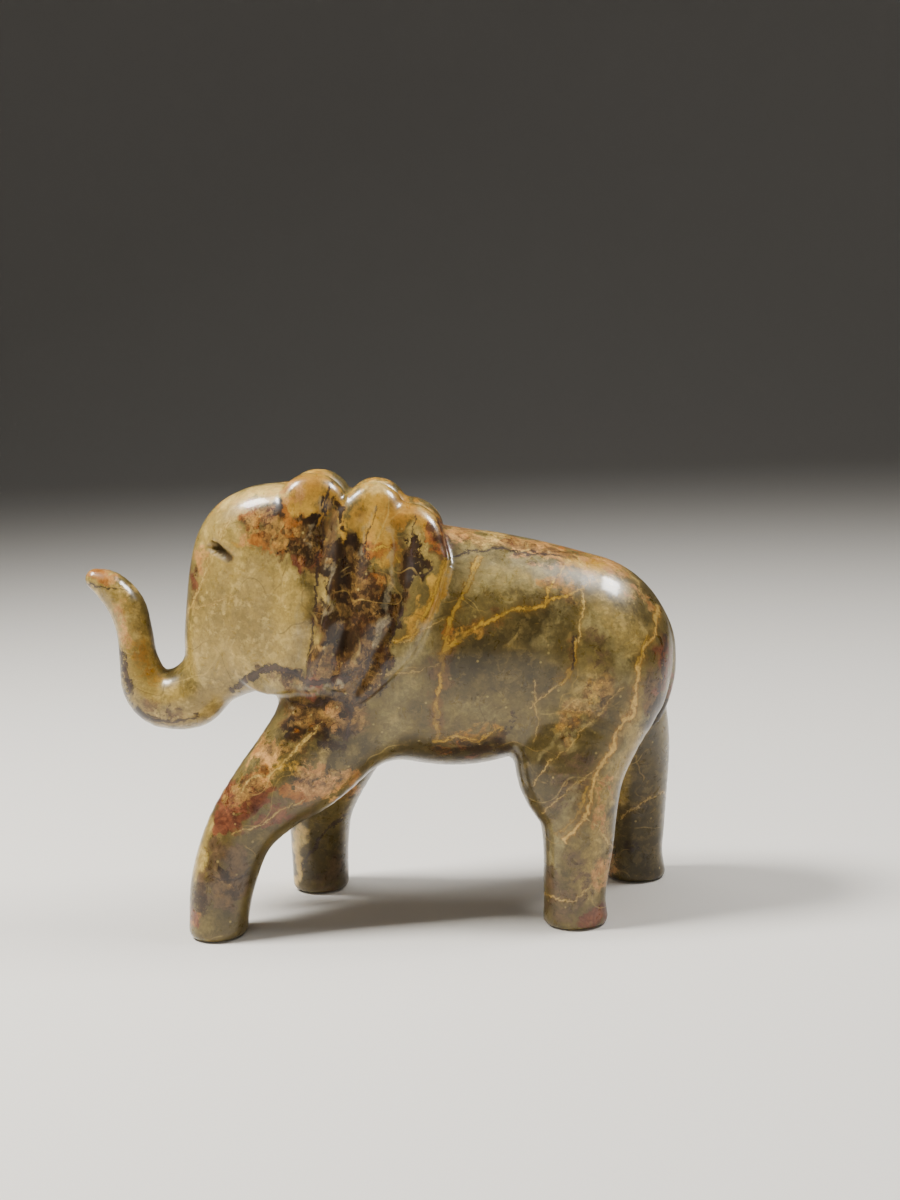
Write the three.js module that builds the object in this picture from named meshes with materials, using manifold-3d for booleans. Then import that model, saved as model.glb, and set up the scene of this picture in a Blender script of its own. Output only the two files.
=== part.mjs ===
import * as THREE from 'three';
import Module from 'manifold-3d';
import { mergeVertices } from 'three/addons/utils/BufferGeometryUtils.js';

// An elephant carved from one block of onyx, in millimetres, +Z up, head towards -X.
// It walks with its trunk raised. The origin is on the floor, under the middle of its length.
// The form is a signed distance, negative inside the stone, that is then faceted.

// Size of the block
const LENGTH = 165;             // trunk tip to tail
const BODY_WIDTH = 51;          // across the belly
const HEAD_WIDTH = 38;          // across the cheeks, in front of the ears
const BROW_WIDTH = 19;          // across the forehead, where the trunk starts
const STANCE = 40;              // between the middles of the left and right feet

// Carving
const EAR_STEP = 2.6;           // how far the rear edge of an ear stands off the shoulder
const EAR_LIFT = 0.4;           // how far its front stands off the cheek
const EAR_EDGE = 2.2;           // rounding of the lower and rear edges of an ear
const EAR_FILLET = 0.8;         // fillet where an ear meets the shoulder
const RIM_EDGE = 5.5;           // rounding of the lobed rim
const LOBE_FILLET = 1.5;        // fillet in the notches between the lobes
const FLUTE_DEPTH = 2.1;        // hollows between the ribs of an ear
const FLUTE_WIDTH = 7.5;
const CHEEK_ROUNDING = 11;      // rounded edge between a cheek and the outline of the head
const SHOULDER_FILLET = 9;
const HIP_FILLET = 6;
const TRUNK_FILLET = 4;
const NECK_FILLET = 3;
const NAPE_ROUNDING = 5;
const TAIL_WIDTH = 6;
const TAIL_FILLET = 1.2;

// Eyes: the edge of a wheel leaves a slit, and a shallow line in front of it
const EYE_LENGTH = 6.4;
const EYE_DEPTH = 1.3;
const EYE_OPENING = 1.8;
const LID_LENGTH = 6.2;
const LID_DEPTH = 0.5;
const LID_OPENING = 1.1;
const WHEEL_SIDES = 28;

// Feet
const SOLE_ROUNDING = 2.6;      // rounded rim around each sole
const SOLE_FLAT = 0.4;          // the rim is ground flat with the sole up to this height

// Colour and finish of the stone
const ONYX = { color: 0x8f8460, roughness: 0.28, metalness: 0 };

// Facets along the length of the elephant, where they aren't made finer or wider
const FACETS = 45;

// The stations below are written for an elephant 165 mm long, and follow LENGTH.
const UNIT = LENGTH / 165;
const foot = STANCE / 2 / UNIT;
const flank = BODY_WIDTH / 2 / UNIT;
const tailHalf = TAIL_WIDTH / 2 / UNIT;

// Each station of a limb: x, z, radius seen from the side, y, half width seen from the front.
const BODY = [
  [-10.5, 83, 25.5, 0, 0.8 * flank],
  [4, 78.5, 32.6, 0, 0.95 * flank],
  [20, 74.6, 33.6, 0, flank],
  [37, 74.6, 29.9, 0, 0.98 * flank],
  [53.4, 71.8, 27.9, 0, 0.93 * flank],
];
const TRUNK = [
  [-79.3, 97.1, 2.9, 0, 3.4],
  [-75.3, 94.7, 4.4, 0, 4.6],
  [-71.2, 89.2, 5.1, 0, 5.4],
  [-69.4, 82, 4.9, 0, 5.8],
  [-68.7, 74, 5.3, 0, 6.4],
  [-66.8, 66.4, 6.9, 0, 7.4],
  [-61.8, 62.5, 8.2, 0, 8.4],
  [-54, 63, 8.4, 0, 9.2],
];
const LEFT_FORELEG = [
  [-5, 67, 17.5, -0.42 * foot, 13],
  [-14.2, 54.8, 15.8, -0.56 * foot, 12.2],
  [-22.9, 45.4, 13.9, -0.66 * foot, 11.2],
  [-31.6, 38.2, 11.4, -0.76 * foot, 10.2],
  [-40.2, 28.4, 9.4, -0.87 * foot, 9.3],
  [-45.2, 15.8, 8.8, -0.96 * foot, 8.7],
  [-47, 5, 8.1, -foot, 8.4],
  [-47.4, -3, 8, -foot, 8.4],
];
const RIGHT_FORELEG = [
  [-5, 67, 17.5, 0.42 * foot, 13],
  [-12, 52, 15, 0.62 * foot, 12],
  [-17.5, 38, 12, 0.8 * foot, 10.6],
  [-20.9, 26, 9.6, 0.92 * foot, 9.4],
  [-21.9, 15, 8.6, 0.98 * foot, 8.8],
  [-22.1, 5, 8.3, foot, 8.5],
  [-22.1, -3, 8.3, foot, 8.5],
];
const LEFT_HINDLEG = [
  [57, 64, 20, -0.5 * foot, 13.5],
  [52.4, 50, 16.6, -0.68 * foot, 12.4],
  [50.6, 41.5, 14.6, -0.8 * foot, 11.2],
  [52.1, 31.5, 10.9, -0.9 * foot, 10],
  [52, 22, 9.6, -0.96 * foot, 9.2],
  [50.9, 12, 8.7, -foot, 8.6],
  [50.6, 5, 8.5, -foot, 8.6],
  [50.8, -3, 9.5, -foot, 9],
];
const RIGHT_HINDLEG = [
  [59, 64, 20, 0.5 * foot, 13.5],
  [65.4, 50, 16, 0.7 * foot, 12.4],
  [69.6, 40, 12.6, 0.84 * foot, 11],
  [71.6, 28, 10, 0.94 * foot, 9.8],
  [71.8, 16, 8.9, foot, 9],
  [71.6, 7, 8.4, foot, 8.6],
  [72.3, -3, 9.2, foot, 8.8],
];
const TAIL = [
  [73, 86, 3, 0, tailHalf],
  [78, 78, 3, 0, tailHalf],
  [79.4, 70, 3, 0, tailHalf],
  [78.6, 62, 2.8, 0, tailHalf],
  [76.4, 54.5, 2.4, 0, 0.8 * tailHalf],
  [73.6, 48, 1.6, 0, 0.5 * tailHalf],
];
// The saddle cut between the two ears, from the crown down to the withers
const NAPE = [
  [-17, 127, 7, 0, 6],
  [0, 124.5, 9.5, 0, 8],
  [12, 121.5, 10.5, 0, 9],
  [26, 120, 10.5, 0, 9],
];

// Side outlines, as x and z: the head by forehead, crown, nape, throat and jaw
const HEAD = [
  [-56.2, 73], [-55.4, 81], [-54.3, 90], [-52.8, 99.5], [-50, 109], [-45, 116], [-38, 120.2],
  [-30, 121.8], [-21, 121], [-12, 112], [-9, 94], [-13, 76], [-20, 67], [-28, 64.6], [-34.5, 65],
  [-41.5, 62.4], [-49, 57.8], [-57, 55], [-62, 62],
];
// An ear below its lobes, then the x, z and radius of each lobe
const EAR = [
  [-32, 112], [-24, 118], [-16, 119], [0, 117], [8, 112], [18.7, 104], [17.7, 95], [14.8, 87.5],
  [10.5, 78.5], [4, 71], [-5.8, 63.6], [-11, 67.4], [-22, 66.4], [-34, 66], [-42, 76], [-40, 96],
];
const LOBES = [
  [-16.9, 115.5, 9.6],
  [-0.6, 113.6, 8.6],
  [7.9, 106, 10.4],
];
// Half thickness over both ears at these heights, as shares of half the body's width
const EAR_HEIGHTS = [128, 116, 106, 96, 86, 76, 62];
const EAR_SPREAD = [0.5, 0.58, 0.7, 0.84, 0.94, 0.96, 0.89];
const EAR_FRONT = [-34, -10];   // the ear grows out of the cheek between these x
// Each flute: x at these heights, how deep it is as a share, and the height where it starts
const FLUTE_HEIGHTS = [122, 102, 87, 73, 62];
const FLUTE_FADE = 9;
const FLUTES = [
  { line: [-24.5, -26.5, -28, -30.5, -33], share: 0.3, top: 118 },
  { line: [-10.9, -15.2, -16.9, -21.3, -25], share: 1, top: 121 },
  { line: [-1.9, -5.4, -7.9, -13.3, -18], share: 1, top: 117 },
  { line: [9.6, 7.5, 4.8, -4, -11], share: 0.85, top: 114 },
];
// The wedge of the head is narrowest and widest at these x, and thinner at crown and jaw.
const WEDGE = [-60, -22];
const CROWN = { from: 104, to: 124, thinner: 2.5 };
const JAW = { from: 74, to: 56, thinner: 2.5 };
// Both ends of the eye slit and of the line in front of it, as x and z
const EYE = [[-43.8, 106.1], [-38.6, 102.2]];
const LID = [[-49.4, 107.8], [-44.2, 104.6]];

const clamp = (t) => Math.min(Math.max(t, 0), 1);
const mix = (a, b, t) => a + (b - a) * t;
const length2 = (a, b) => Math.sqrt(a * a + b * b);
const length3 = (a, b, c) => Math.sqrt(a * a + b * b + c * c);

function ease(from, to, value) {
  const t = clamp((value - from) / (to - from));
  return t * t * (3 - 2 * t);
}

// Union of two distances, with a fillet of about k between them.
function join(a, b, k) {
  const h = Math.max(k - Math.abs(a - b), 0) / k;
  return Math.min(a, b) - h * h * k / 4;
}

// Intersection of two distances, with an edge rounded by about k.
function meet(a, b, k) {
  return -join(-a, -b, k);
}

// The number at height z, in a row of numbers at heights that go down.
function atHeight(heights, values, z) {
  const below = heights.findIndex((height) => z > height);
  const i = below < 0 ? heights.length - 1 : Math.max(below, 1);
  return mix(values[i - 1], values[i], (heights[i - 1] - z) / (heights[i - 1] - heights[i]));
}

// Point at share t of the smooth curve from b to c, with neighbours a and d.
function curvePoint(a, b, c, d, t) {
  return b.map((value, i) => {
    const bend = (2 * a[i] - 5 * value + 4 * c[i] - d[i]) * t * t;
    const twist = (3 * value - a[i] - 3 * c[i] + d[i]) * t * t * t;
    return value + 0.5 * ((c[i] - a[i]) * t + bend + twist);
  });
}

function smoothLine(points, closed, steps = 4) {
  const n = points.length;
  const at = (i) => (closed ? points[(i + n) % n] : points[Math.min(Math.max(i, 0), n - 1)]);
  const line = [];
  for (let i = 0; i < (closed ? n : n - 1); i++) {
    for (let j = 0; j < steps; j++) {
      line.push(curvePoint(at(i - 1), at(i), at(i + 1), at(i + 2), j / steps));
    }
  }
  if (!closed) line.push(points[n - 1]);
  return line;
}

// Distance to a limb: ellipses strung along the smooth line through its stations.
function limb(stations) {
  const line = smoothLine(stations, false);
  const tiny = 1e-6;
  return (x, y, z) => {
    let nearest = Infinity;
    for (let i = 1; i < line.length; i++) {
      const a = line[i - 1];
      const b = line[i];
      const dx = b[0] - a[0];
      const dz = b[1] - a[1];
      const t = clamp(((x - a[0]) * dx + (z - a[1]) * dz) / (dx * dx + dz * dz));
      const radius = mix(a[2], b[2], t);
      const half = mix(a[4], b[4], t);
      const px = (x - mix(a[0], b[0], t)) / radius;
      const py = (y - mix(a[3], b[3], t)) / half;
      const pz = (z - mix(a[1], b[1], t)) / radius;
      const reach = length3(px, py, pz);
      const slope = length3(px / radius, py / half, pz / radius) + tiny;
      nearest = Math.min(nearest, reach * (reach - 1) / slope);
    }
    return nearest;
  };
}

// Distance, in the side view, to the closed smooth line through the points.
function outline(points) {
  const line = smoothLine(points, true);
  return (x, z) => {
    let nearest = Infinity;
    let inside = false;
    for (let i = 0; i < line.length; i++) {
      const [ax, az] = line[i];
      const [bx, bz] = line[(i + 1) % line.length];
      const dx = bx - ax;
      const dz = bz - az;
      const t = clamp(((x - ax) * dx + (z - az) * dz) / (dx * dx + dz * dz));
      nearest = Math.min(nearest, length2(x - ax - dx * t, z - az - dz * t));
      if ((az > z) !== (bz > z) && x < ax + dx * (z - az) / dz) inside = !inside;
    }
    return inside ? -nearest : nearest;
  };
}

const body = limb(BODY);
const trunk = limb(TRUNK);
const foreLegs = [limb(LEFT_FORELEG), limb(RIGHT_FORELEG)];
const hindLegs = [limb(LEFT_HINDLEG), limb(RIGHT_HINDLEG)];
const tail = limb(TAIL);
const nape = limb(NAPE);
const headOutline = outline(HEAD);
const earOutline = outline(EAR);

// Half thickness of the head
function cheek(x, z) {
  const wedge = mix(BROW_WIDTH, HEAD_WIDTH, ease(WEDGE[0], WEDGE[1], x)) / 2 / UNIT;
  const crown = CROWN.thinner * ease(CROWN.from, CROWN.to, z);
  const jaw = JAW.thinner * ease(JAW.from, JAW.to, z);
  return wedge - crown - jaw;
}

function head(x, y, z) {
  return meet(headOutline(x, z), Math.abs(y) - cheek(x, z), CHEEK_ROUNDING / UNIT);
}

// Depth of the flutes: hollows that run from under the lobes to the lower edge of the ear
function flutes(x, z) {
  let depth = 0;
  for (const { line, share, top } of FLUTES) {
    const offset = (x - atHeight(FLUTE_HEIGHTS, line, z)) * UNIT / (FLUTE_WIDTH / 2);
    depth += share * ease(top, top - FLUTE_FADE, z) * Math.exp(-1.6 * offset * offset);
  }
  return depth * FLUTE_DEPTH / UNIT;
}

// The ears lie on the cheek in front and stand off the shoulder behind.
function ears(x, y, z) {
  const rim = LOBES.reduce(
    (side, [cx, cz, radius]) => join(side, length2(x - cx, z - cz) - radius, LOBE_FILLET / UNIT),
    earOutline(x, z),
  );
  const shoulder = flank * atHeight(EAR_HEIGHTS, EAR_SPREAD, z) + EAR_STEP / UNIT;
  const front = cheek(x, z) + EAR_LIFT / UNIT;
  const half = mix(front, shoulder, ease(EAR_FRONT[0], EAR_FRONT[1], x)) - flutes(x, z);
  const edge = mix(EAR_EDGE, RIM_EDGE, ease(100, 118, z)) / UNIT;
  return meet(rim, Math.abs(y) - half, edge);
}

// Signed distance to the whole elephant, in the units of the stations
function elephant(x, y, z) {
  let d = body(x, y, z);
  for (const leg of foreLegs) d = join(d, leg(x, y, z), SHOULDER_FILLET / UNIT);
  for (const leg of hindLegs) d = join(d, leg(x, y, z), HIP_FILLET / UNIT);
  d = join(d, tail(x, y, z), TAIL_FILLET / UNIT);
  d = join(d, join(head(x, y, z), trunk(x, y, z), TRUNK_FILLET / UNIT), NECK_FILLET / UNIT);
  d = join(d, ears(x, y, z), EAR_FILLET / UNIT);
  d = meet(d, -nape(x, y, z), NAPE_ROUNDING / UNIT);
  return meet(d, -z, SOLE_ROUNDING / UNIT);
}

const distance = (p) => elephant(p.x / UNIT, p.y / UNIT, p.z / UNIT) * UNIT;

// Grid lines from one end to past the other, a spacing apart that depends on the place
function gridLines(from, to, spacing) {
  const lines = [from];
  while (lines[lines.length - 1] < to) {
    const last = lines[lines.length - 1];
    lines.push(last + spacing(last));
  }
  return lines;
}

// The grid is finer along the trunk and across the fluted ears, and wider on rump and legs.
const facet = LENGTH / FACETS;
const columns = gridLines(-86 * UNIT, 86 * UNIT, (x) => {
  const onTrunk = ease(-58, -64, x / UNIT);
  const onEars = ease(-40, -33, x / UNIT) * ease(26, 18, x / UNIT);
  const onRump = ease(20, 34, x / UNIT);
  return facet * (1 - 0.28 * onTrunk - 0.34 * onEars + 0.25 * onRump);
});
const halfWidth = Math.max(STANCE / 2 + 12 * UNIT, BODY_WIDTH / 2 + EAR_STEP + 4 * UNIT);
const rows = gridLines(-halfWidth - facet, halfWidth + facet, () => facet * 1.05);
const layers = gridLines(-facet, 130 * UNIT, (z) => {
  const onLegs = ease(1, 5, z / UNIT) * ease(62, 56, z / UNIT);
  return facet * (0.8 + 0.45 * onLegs);
});

// Facets the distance. Each grid cell that the surface crosses has a vertex for each separate
// group of its corners that lie in the stone, so that two sheets close together stay apart.
function facetSurface(field, xs, ys, zs) {
  const axes = [xs, ys, zs];
  const index = (node) => (node[0] * ys.length + node[1]) * zs.length + node[2];
  const values = new Float64Array(xs.length * ys.length * zs.length);
  const corner = new THREE.Vector3();
  xs.forEach((x, i) => ys.forEach((y, j) => zs.forEach((z, k) => {
    values[index([i, j, k])] = field(corner.set(x, y, z));
  })));
  const inside = (node) => values[index(node)] < 0;

  // Corner 0 to 7 of a cell: bit 0 steps along x, bit 1 along y and bit 2 along z.
  const cornerOf = (cell, number) => cell.map((value, axis) => value + ((number >> axis) & 1));

  // Corners of a cell that are in the stone and joined to this one by edges of the cell
  function groupOf(cell, number) {
    const group = [number];
    for (const member of group) {
      for (const bit of [1, 2, 4]) {
        const next = member ^ bit;
        if (!group.includes(next) && inside(cornerOf(cell, next))) group.push(next);
      }
    }
    return group;
  }

  // Middle of the points where the surface crosses the edges around a group of corners
  function groupMiddle(cell, group) {
    const sum = [0, 0, 0];
    let count = 0;
    for (const number of group) {
      for (const bit of [1, 2, 4]) {
        const a = cornerOf(cell, number);
        const b = cornerOf(cell, number ^ bit);
        if (inside(b)) continue;
        const t = values[index(a)] / (values[index(a)] - values[index(b)]);
        axes.forEach((line, axis) => { sum[axis] += mix(line[a[axis]], line[b[axis]], t); });
        count += 1;
      }
    }
    return sum.map((value) => value / count);
  }

  const position = [];
  const vertexOf = new Map();
  function addVertices(cell) {
    const stone = [0, 1, 2, 3, 4, 5, 6, 7].filter((number) => inside(cornerOf(cell, number)));
    if (stone.length === 0 || stone.length === 8) return;
    for (const number of stone) {
      if (vertexOf.has(index(cell) * 8 + number)) continue;
      const group = groupOf(cell, number);
      for (const member of group) vertexOf.set(index(cell) * 8 + member, position.length / 3);
      position.push(...groupMiddle(cell, group));
    }
  }

  // A grid edge that crosses the surface is shared by four cells, which make two triangles.
  const triangles = [];
  function addTriangles(node, axis) {
    const end = [...node];
    end[axis] += 1;
    const startsInside = inside(node);
    if (startsInside === inside(end)) return;
    const stoneEnd = startsInside ? node : end;
    const ring = [[1, 1], [0, 1], [0, 0], [1, 0]].map(([du, dv]) => {
      const cell = [...node];
      cell[(axis + 1) % 3] -= du;
      cell[(axis + 2) % 3] -= dv;
      const number = stoneEnd.reduce((bits, value, i) => bits + ((value - cell[i]) << i), 0);
      return vertexOf.get(index(cell) * 8 + number);
    });
    if (!startsInside) ring.reverse();
    triangles.push(ring[0], ring[1], ring[2], ring[0], ring[2], ring[3]);
  }

  const eachNode = (visit) => {
    for (let i = 0; i < xs.length - 1; i++) {
      for (let j = 0; j < ys.length - 1; j++) {
        for (let k = 0; k < zs.length - 1; k++) visit([i, j, k]);
      }
    }
  };
  eachNode(addVertices);
  eachNode((node) => [0, 1, 2].forEach((axis) => addTriangles(node, axis)));

  const geometry = new THREE.BufferGeometry();
  geometry.setAttribute('position', new THREE.Float32BufferAttribute(position, 3));
  geometry.setIndex(triangles);
  return geometry;
}

// Moves a point onto the surface along the slope of the distance, or onto the floor plane
// where it lies on a sole.
function settle(point) {
  const step = 0.02;
  const slope = new THREE.Vector3();
  const probe = new THREE.Vector3();
  for (let round = 0; round < 4; round++) {
    const here = distance(point);
    for (const axis of ['x', 'y', 'z']) {
      probe.copy(point)[axis] += step;
      slope[axis] = (distance(probe) - here) / step;
    }
    point.addScaledVector(slope, -here / Math.max(slope.lengthSq(), 0.2));
  }
  if (point.z < SOLE_FLAT) point.z = 0;
}

function carveBlock() {
  const geometry = facetSurface(distance, columns, rows, layers);
  const position = geometry.getAttribute('position');
  const point = new THREE.Vector3();
  for (let i = 0; i < position.count; i++) {
    settle(point.fromBufferAttribute(position, i));
    position.setXYZ(i, point.x, point.y, point.z);
  }
  return geometry;
}

// Half thickness of the stone at x and z, found by halving
function halfThickness(x, z) {
  let inner = 0;
  let outer = halfWidth;
  for (let i = 0; i < 30; i++) {
    const middle = (inner + outer) / 2;
    if (distance({ x, y: middle, z }) < 0) inner = middle;
    else outer = middle;
  }
  return inner;
}

// A wheel with a V edge that stands across the cheek and sinks into it by the depth of the cut.
// The length of the cut gives the radius, and its opening the thickness of the wheel.
function cutWheel([from, to], length, depth, opening, side) {
  const radius = (length * length / 4 + depth * depth) / (2 * depth);
  const half = opening / 2 * radius / depth;
  const profile = [[0, -half], [radius, 0], [0, half]].map(([r, y]) => new THREE.Vector2(r, y));
  const wheel = new THREE.LatheGeometry(profile, WHEEL_SIDES);
  const x = (from[0] + to[0]) / 2 * UNIT;
  const z = (from[1] + to[1]) / 2 * UNIT;
  wheel.rotateX(Math.PI / 2);
  wheel.rotateY(Math.atan2(from[1] - to[1], to[0] - from[0]));
  wheel.translate(x, side * (halfThickness(x, z) + radius - depth), z);
  return wheel;
}

const wasm = await Module();
wasm.setup();

function toSolid(geometry) {
  const bare = geometry.clone();
  bare.deleteAttribute('normal');
  bare.deleteAttribute('uv');
  const welded = mergeVertices(bare, 1e-4);
  return new wasm.Manifold(new wasm.Mesh({
    numProp: 3,
    vertProperties: new Float32Array(welded.getAttribute('position').array),
    triVerts: new Uint32Array(welded.getIndex().array),
  }));
}

function toGeometry(solid) {
  const mesh = solid.getMesh();
  const geometry = new THREE.BufferGeometry();
  geometry.setAttribute('position', new THREE.BufferAttribute(mesh.vertProperties, 3));
  geometry.setIndex(new THREE.BufferAttribute(mesh.triVerts, 1));
  geometry.computeVertexNormals();
  return geometry;
}

function elephantSolid() {
  let stone = toSolid(carveBlock());
  for (const side of [-1, 1]) {
    stone = stone.subtract(toSolid(cutWheel(EYE, EYE_LENGTH, EYE_DEPTH, EYE_OPENING, side)));
    stone = stone.subtract(toSolid(cutWheel(LID, LID_LENGTH, LID_DEPTH, LID_OPENING, side)));
  }
  return stone;
}

const carving = new THREE.Mesh(toGeometry(elephantSolid()), new THREE.MeshStandardMaterial(ONYX));
carving.name = 'elephant';

const group = new THREE.Group();
group.add(carving);

export default group;
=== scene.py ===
import math

import bpy
import numpy as np
from mathutils import Matrix, Vector


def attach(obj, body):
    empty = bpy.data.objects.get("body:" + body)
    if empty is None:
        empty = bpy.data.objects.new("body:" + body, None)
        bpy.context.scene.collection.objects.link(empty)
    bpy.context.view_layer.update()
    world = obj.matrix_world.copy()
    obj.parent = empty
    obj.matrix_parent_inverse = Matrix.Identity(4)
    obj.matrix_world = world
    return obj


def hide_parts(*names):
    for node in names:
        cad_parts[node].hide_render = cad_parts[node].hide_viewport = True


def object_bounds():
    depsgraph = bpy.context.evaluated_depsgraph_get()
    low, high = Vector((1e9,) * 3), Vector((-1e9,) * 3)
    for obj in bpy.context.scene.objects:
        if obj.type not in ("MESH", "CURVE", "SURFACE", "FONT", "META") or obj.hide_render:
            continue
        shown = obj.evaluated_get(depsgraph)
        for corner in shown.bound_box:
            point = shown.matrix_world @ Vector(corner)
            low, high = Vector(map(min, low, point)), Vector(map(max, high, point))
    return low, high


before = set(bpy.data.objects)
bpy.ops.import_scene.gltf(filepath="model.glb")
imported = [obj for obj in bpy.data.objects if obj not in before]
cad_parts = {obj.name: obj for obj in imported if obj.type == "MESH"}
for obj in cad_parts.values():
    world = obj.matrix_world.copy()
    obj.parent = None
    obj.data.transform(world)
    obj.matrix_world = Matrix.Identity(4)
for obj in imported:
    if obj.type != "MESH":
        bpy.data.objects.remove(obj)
cad_box = [list(map(float, corner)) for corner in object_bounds()]
scene = bpy.context.scene

# ---------------------------------------------------------------------------------------
# The carved form: a signed distance in millimetres, negative inside the stone
# ---------------------------------------------------------------------------------------
FOOT = 20.0  # from the middle plane to the middle of a foot
FLANK = 25.5  # half the width of the body
SHOULDER_FILLET = 9.0
HIP_FILLET = 6.0
TAIL_FILLET = 1.2
TRUNK_FILLET = 4.0
NECK_FILLET = 3.0
EAR_FILLET = 0.8
NAPE_ROUNDING = 5.0
SOLE_EDGE = 2.6
MUZZLE_WIDTH = 19.0
HEAD_WIDTH = 38.0
CHEEK_TAPER = 2.5
CHEEK_ROUNDING = 11.0

# Stations of the limbs: x, z, radius in the side view, y, half the width
BODY = [
    (-10.5, 83, 25.5, 0, 0.80 * FLANK), (4, 78.5, 32.6, 0, 0.95 * FLANK),
    (20, 74.6, 33.6, 0, FLANK), (37, 74.6, 29.9, 0, 0.98 * FLANK),
    (53.4, 71.8, 27.9, 0, 0.93 * FLANK),
]
TRUNK = [
    (-79.3, 97.1, 2.9, 0, 3.4), (-75.3, 94.7, 4.4, 0, 4.6), (-71.2, 89.2, 5.1, 0, 5.4),
    (-69.4, 82, 4.9, 0, 5.8), (-68.7, 74, 5.3, 0, 6.4), (-66.8, 66.4, 6.9, 0, 7.4),
    (-61.8, 62.5, 8.2, 0, 8.4), (-54, 63, 8.4, 0, 9.2),
]
LEFT_FORELEG = [
    (-5, 67, 17.5, -0.42 * FOOT, 13), (-14.2, 54.8, 15.8, -0.56 * FOOT, 12.2),
    (-22.9, 45.4, 13.9, -0.66 * FOOT, 11.2), (-31.6, 38.2, 11.4, -0.76 * FOOT, 10.2),
    (-40.2, 28.4, 9.4, -0.87 * FOOT, 9.3), (-45.2, 15.8, 8.8, -0.96 * FOOT, 8.7),
    (-47, 5, 8.1, -FOOT, 8.4), (-47.4, -3, 8, -FOOT, 8.4),
]
RIGHT_FORELEG = [
    (-5, 67, 17.5, 0.42 * FOOT, 13), (-12, 52, 15, 0.62 * FOOT, 12),
    (-17.5, 38, 12, 0.8 * FOOT, 10.6), (-20.9, 26, 9.6, 0.92 * FOOT, 9.4),
    (-21.9, 15, 8.6, 0.98 * FOOT, 8.8), (-22.1, 5, 8.3, FOOT, 8.5), (-22.1, -3, 8.3, FOOT, 8.5),
]
LEFT_HINDLEG = [
    (57, 64, 20, -0.5 * FOOT, 13.5), (52.4, 50, 16.6, -0.68 * FOOT, 12.4),
    (50.6, 41.5, 14.6, -0.8 * FOOT, 11.2), (52.1, 31.5, 10.9, -0.9 * FOOT, 10),
    (52, 22, 9.6, -0.96 * FOOT, 9.2), (50.9, 12, 8.7, -FOOT, 8.6), (50.6, 5, 8.5, -FOOT, 8.6),
    (50.8, -3, 9.5, -FOOT, 9),
]
RIGHT_HINDLEG = [
    (59, 64, 20, 0.5 * FOOT, 13.5), (65.4, 50, 16, 0.7 * FOOT, 12.4),
    (69.6, 40, 12.6, 0.84 * FOOT, 11), (71.6, 28, 10, 0.94 * FOOT, 9.8),
    (71.8, 16, 8.9, FOOT, 9), (71.6, 7, 8.4, FOOT, 8.6), (72.3, -3, 9.2, FOOT, 8.8),
]
TAIL = [
    (73, 86, 3, 0, 3), (78, 78, 3, 0, 3), (79.4, 70, 3, 0, 3), (78.6, 62, 2.8, 0, 3),
    (76.4, 54.5, 2.4, 0, 2.4), (73.6, 48, 1.6, 0, 1.5),
]
NAPE = [(-17, 127, 7, 0, 6), (0, 124.5, 9.5, 0, 8), (12, 121.5, 10.5, 0, 9), (26, 120, 10.5, 0, 9)]
# Outlines in the side view: x, z
HEAD = [
    (-56.2, 73), (-55.4, 81), (-54.3, 90), (-52.8, 99.5), (-50, 109), (-45, 116), (-38, 120.2),
    (-30, 121.8), (-21, 121), (-12, 112), (-9, 94), (-13, 76), (-20, 67), (-28, 64.6),
    (-34.5, 65), (-41.5, 62.4), (-49, 57.8), (-57, 55), (-62, 62),
]
EAR = [
    (-32, 112), (-24, 118), (-16, 119), (0, 117), (8, 112), (18.7, 104), (17.7, 95),
    (14.8, 87.5), (10.5, 78.5), (4, 71), (-5.8, 63.6), (-11, 67.4), (-22, 66.4), (-34, 66),
    (-42, 76), (-40, 96),
]
# Lobes of the ear: x, z, radius
LOBES = [(-16.9, 115.5, 9.6), (-0.6, 113.6, 8.6), (7.9, 106, 10.4)]
# How far the ears stand out at each height, as a share of FLANK
EAR_HEIGHTS = [128, 116, 106, 96, 86, 76, 62]
EAR_SPREAD = [0.5, 0.58, 0.7, 0.84, 0.94, 0.96, 0.89]
FLUTE_HEIGHTS = [122, 102, 87, 73, 62]
# Each flute: x at those heights, its share of the depth, the height where it starts, width
FLUTES = [
    ((-24.5, -26.5, -28, -30.5, -33), 0.3, 118, 7.5),
    ((-10.9, -15.2, -16.9, -21.3, -25), 1.0, 121, 7.0),
    ((-1.9, -5.4, -7.9, -13.3, -18), 1.0, 117, 7.0),
    ((9.6, 7.5, 4.8, -4, -11), 0.85, 114, 7.5),
]
FLUTE_DEPTH = 2.1
FLUTE_RUN_OUT = 9.0
EAR_STEP = 2.6
EAR_LIFT = 0.4
EAR_EDGE = 2.2
RIM_EDGE = 5.5
LOBE_FILLET = 1.5
# The eye: a slit with a square front end that fades backwards, and a line before it
EYE_SLIT = [(-43.9, 106.4), (-38.4, 102.0)]
EYE_DEPTH = 2.2
EYE_FLOOR, EYE_EDGE = 0.6, 1.5
LID_LINE = [(-49.4, 107.8), (-44.4, 104.7)]
LID_DEPTH = 0.45
LID_EDGE = 0.8


def ease(start, end, value):
    """Smooth step from 0 at start to 1 at end."""
    t = np.clip((value - start) / (end - start), 0, 1)
    return t * t * (3 - 2 * t)


def mix(a, b, t):
    return a + (b - a) * t


def join(a, b, k):
    """Union of two forms with a fillet of about k."""
    h = np.maximum(k - np.abs(a - b), 0) / k
    return np.minimum(a, b) - h * h * k / 4


def meet(a, b, k):
    """What two forms have in common, with an edge rounded by about k."""
    return -join(-a, -b, k)


def at_height(heights, values, z):
    return np.interp(z, heights[::-1], values[::-1])


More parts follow.
